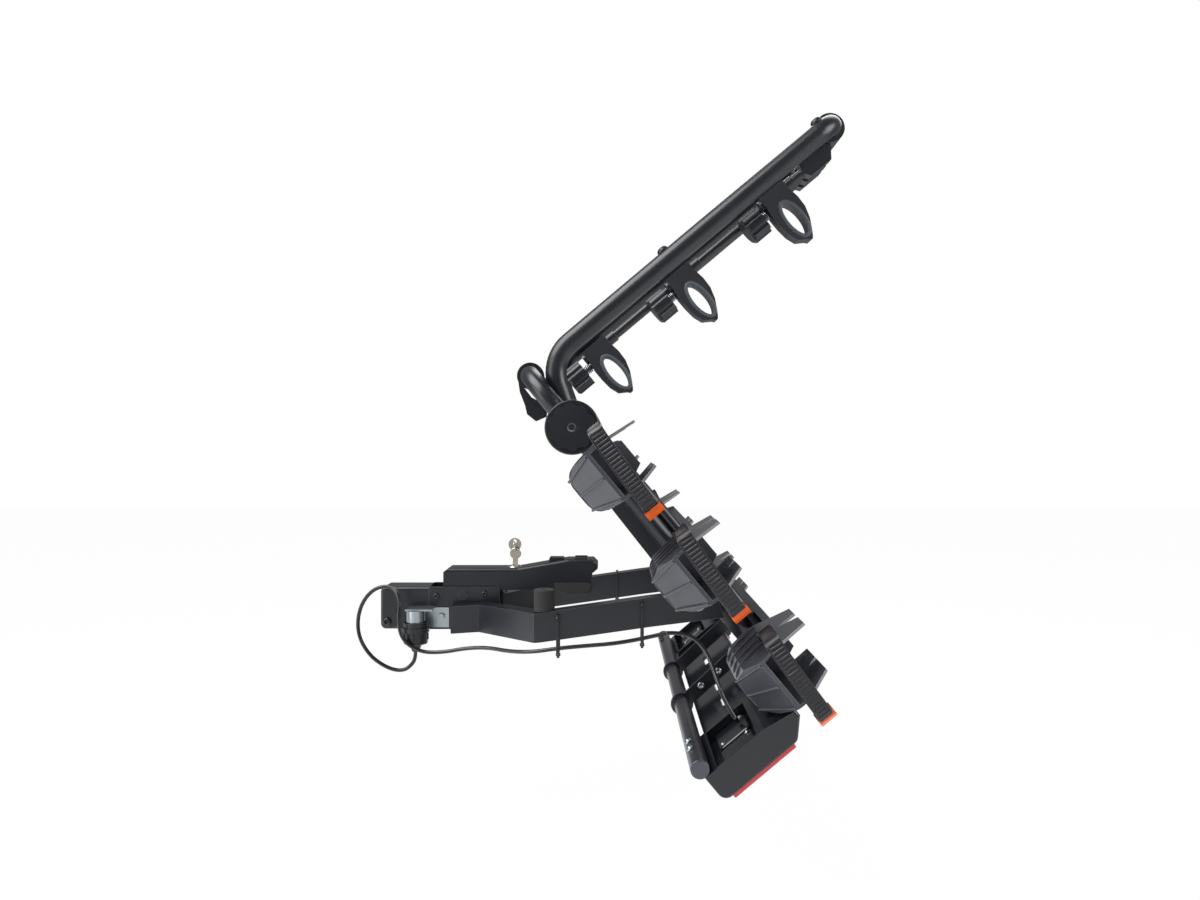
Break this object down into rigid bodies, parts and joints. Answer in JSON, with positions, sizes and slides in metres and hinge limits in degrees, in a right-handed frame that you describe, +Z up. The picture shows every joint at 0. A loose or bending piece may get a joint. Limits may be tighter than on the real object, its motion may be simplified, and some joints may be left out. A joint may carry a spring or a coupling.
{
  "type": "hitch mounted bike rack",
  "caption": "Towball platform rack for bikes: tilting frame with wheel cradles and straps, folding hoop with holding arms, coupling lever and light board.",
  "frame": {"origin": "centre of the towball in the coupling's socket", "axes": "+X points rearward from the car, +Y to the side away from the viewer, +Z up"},
  "size_m": [0.8997, 1.053, 1.1136],
  "materials": {
    "black_powder_coat": "satin black powder coat on steel",
    "dark_plastic": "fine-textured black moulded plastic",
    "grey_plastic": "mid grey moulded plastic",
    "strap_plastic": "ribbed black strap",
    "orange_plastic": "orange moulded plastic",
    "black_rubber": "black rubber",
    "cable_jacket": "smooth black cable jacket",
    "zinc_steel": "bright zinc-plated steel",
    "nickel": "nickel-plated brass",
    "board_aluminium": "grey anodised aluminium",
    "lens_red": "clear red acrylic"
  },
  "bodies": {
    "hitch_frame": {"coupling_body": "black_powder_coat", "coupling_cheeks": "black_powder_coat", "arm_near": "black_powder_coat", "arm_far": "black_powder_coat", "tilt_axle": "zinc_steel", "bump_stop_near": "black_rubber", "bump_stop_far": "black_rubber", "plug_bracket": "zinc_steel", "trailer_plug": "dark_plastic", "loop_cable": "cable_jacket", "board_cable": "cable_jacket"},
    "lever": {"coupling_lever": "dark_plastic", "lever_grip": "black_rubber"},
    "release_button": {"release_button": "dark_plastic"},
    "lock_key": {"lock_key": "nickel"},
    "platform": {"deck_frame": "black_powder_coat", "board_tube": "board_aluminium", "plate_panel": "dark_plastic", "hinge_housing_near": "dark_plastic", "board_bracket_near": "black_powder_coat", "lamp_near": "dark_plastic", "lens_near": "lens_red", "hinge_housing_far": "dark_plastic", "board_bracket_far": "black_powder_coat", "lamp_far": "dark_plastic", "lens_far": "lens_red", "tray_channel_1": "board_aluminium", "wheel_cup_1_near": "grey_plastic", "strap_1_near": "strap_plastic", "wheel_cup_1_far": "grey_plastic", "strap_1_far": "strap_plastic", "tray_channel_2": "board_aluminium", "wheel_cup_2_near": "grey_plastic", "strap_2_near": "strap_plastic", "wheel_cup_2_far": "grey_plastic", "strap_2_far": "strap_plastic", "tray_channel_3": "board_aluminium", "wheel_cup_3_near": "grey_plastic", "strap_3_near": "strap_plastic", "wheel_cup_3_far": "grey_plastic", "strap_3_far": "strap_plastic"},
    "tilt_latch": {"tilt_latch": "dark_plastic"},
    "hoop": {"hoop": "black_powder_coat"},
    "hinge_knob_near": {"hinge_knob_near": "dark_plastic"},
    "hinge_knob_far": {"hinge_knob_far": "dark_plastic"},
    "buckle_1_near": {"buckle_1_near": "orange_plastic"},
    "buckle_1_far": {"buckle_1_far": "orange_plastic"},
    "buckle_2_near": {"buckle_2_near": "orange_plastic"},
    "buckle_2_far": {"buckle_2_far": "orange_plastic"},
    "buckle_3_near": {"buckle_3_near": "orange_plastic"},
    "buckle_3_far": {"buckle_3_far": "orange_plastic"},
    "holder_1": {"holder_rod_1": "black_powder_coat"},
    "claw_1": {"claw_1": "dark_plastic"},
    "claw_grip_1": {"claw_grip_1": "dark_plastic"},
    "holder_2": {"holder_rod_2": "black_powder_coat"},
    "claw_2": {"claw_2": "dark_plastic"},
    "claw_grip_2": {"claw_grip_2": "dark_plastic"},
    "holder_3": {"holder_rod_3": "black_powder_coat"},
    "claw_3": {"claw_3": "dark_plastic"},
    "claw_grip_3": {"claw_grip_3": "dark_plastic"}
  },
  "joints": [
    {"name": "platform_tilt", "type": "hinge", "parent": "hitch_frame", "child": "platform", "pos_m": [0.53519, 0, 0.0608], "axis": [0, 1, 0], "range_deg": [-50, 0], "deforming": ["board_cable"]},
    {"name": "lever_lift", "type": "hinge", "parent": "hitch_frame", "child": "lever", "pos_m": [0.11, 0, 0.05], "axis": [0, -1, 0], "range_deg": [0, 75]},
    {"name": "button_press", "type": "slide", "parent": "lever", "child": "release_button", "axis": [0, 0, -1], "range_m": [0, 0.003], "stiffness_N_per_m": 800},
    {"name": "key_turn", "type": "hinge", "parent": "lever", "child": "lock_key", "pos_m": [0.205, -0.01, 0.1], "axis": [0, 0, 1], "range_deg": [0, 90]},
    {"name": "latch_lift", "type": "hinge", "parent": "platform", "child": "tilt_latch", "pos_m": [0.23865, -0.056, 0.45776], "axis": [0, -1, 0], "range_deg": [0, 25]},
    {"name": "hoop_fold", "type": "hinge", "parent": "platform", "child": "hoop", "pos_m": [0.319, 0, 0.362], "axis": [0, 1, 0], "range_deg": [0, 50]},
    {"name": "hinge_knob_turn_near", "type": "hinge", "parent": "platform", "child": "hinge_knob_near", "pos_m": [0.319, -0.17, 0.362], "axis": [0, 1, 0], "continuous": true},
    {"name": "hinge_knob_turn_far", "type": "hinge", "parent": "platform", "child": "hinge_knob_far", "pos_m": [0.319, 0.17, 0.362], "axis": [0, 1, 0], "continuous": true},
    {"name": "buckle_open_1_near", "type": "hinge", "parent": "platform", "child": "buckle_1_near", "pos_m": [0.44835, -0.455, 0.23896], "axis": [0.766, 0, 0.6428], "range_deg": [0, 45]},
    {"name": "buckle_open_1_far", "type": "hinge", "parent": "platform", "child": "buckle_1_far", "pos_m": [0.44835, 0.455, 0.23896], "axis": [-0.766, 0, -0.6428], "range_deg": [0, 45]},
    {"name": "buckle_open_2_near", "type": "hinge", "parent": "platform", "child": "buckle_2_near", "pos_m": [0.57048, -0.455, 0.09341], "axis": [0.766, 0, 0.6428], "range_deg": [0, 45]},
    {"name": "buckle_open_2_far", "type": "hinge", "parent": "platform", "child": "buckle_2_far", "pos_m": [0.57048, 0.455, 0.09341], "axis": [-0.766, 0, -0.6428], "range_deg": [0, 45]},
    {"name": "buckle_open_3_near", "type": "hinge", "parent": "platform", "child": "buckle_3_near", "pos_m": [0.69261, -0.455, -0.05214], "axis": [0.766, 0, 0.6428], "range_deg": [0, 45]},
    {"name": "buckle_open_3_far", "type": "hinge", "parent": "platform", "child": "buckle_3_far", "pos_m": [0.69261, 0.455, -0.05214], "axis": [-0.766, 0, -0.6428], "range_deg": [0, 45]},
    {"name": "holder_swing_1", "type": "hinge", "parent": "hoop", "child": "holder_1", "pos_m": [0.79048, 0.044, 0.91557], "axis": [0, 1, 0], "range_deg": [-60, 0]},
    {"name": "claw_swivel_1", "type": "hinge", "parent": "holder_1", "child": "claw_1", "pos_m": [0.36009, 0.044, 0.51527], "axis": [0.766, 0, 0.6428], "range_deg": [-20, 20]},
    {"name": "claw_grip_turn_1", "type": "hinge", "parent": "claw_1", "child": "claw_grip_1", "pos_m": [0.3257, 0.044, 0.46292], "axis": [0.766, 0, 0.6428], "continuous": true},
    {"name": "holder_swing_2", "type": "hinge", "parent": "hoop", "child": "holder_2", "pos_m": [0.79048, 0, 0.91557], "axis": [0, 1, 0], "range_deg": [-60, 0]},
    {"name": "claw_swivel_2", "type": "hinge", "parent": "holder_2", "child": "claw_2", "pos_m": [0.51943, 0, 0.64897], "axis": [0.766, 0, 0.6428], "range_deg": [-20, 20]},
    {"name": "claw_grip_turn_2", "type": "hinge", "parent": "claw_2", "child": "claw_grip_2", "pos_m": [0.48504, 0, 0.59662], "axis": [0.766, 0, 0.6428], "continuous": true},
    {"name": "holder_swing_3", "type": "hinge", "parent": "hoop", "child": "holder_3", "pos_m": [0.79048, -0.044, 0.91557], "axis": [0, 1, 0], "range_deg": [-60, 0]},
    {"name": "claw_swivel_3", "type": "hinge", "parent": "holder_3", "child": "claw_3", "pos_m": [0.68949, -0.044, 0.79167], "axis": [0.766, 0, 0.6428], "range_deg": [-20, 20]},
    {"name": "claw_grip_turn_3", "type": "hinge", "parent": "claw_3", "child": "claw_grip_3", "pos_m": [0.6551, -0.044, 0.73932], "axis": [0.766, 0, 0.6428], "continuous": true}
  ]
}
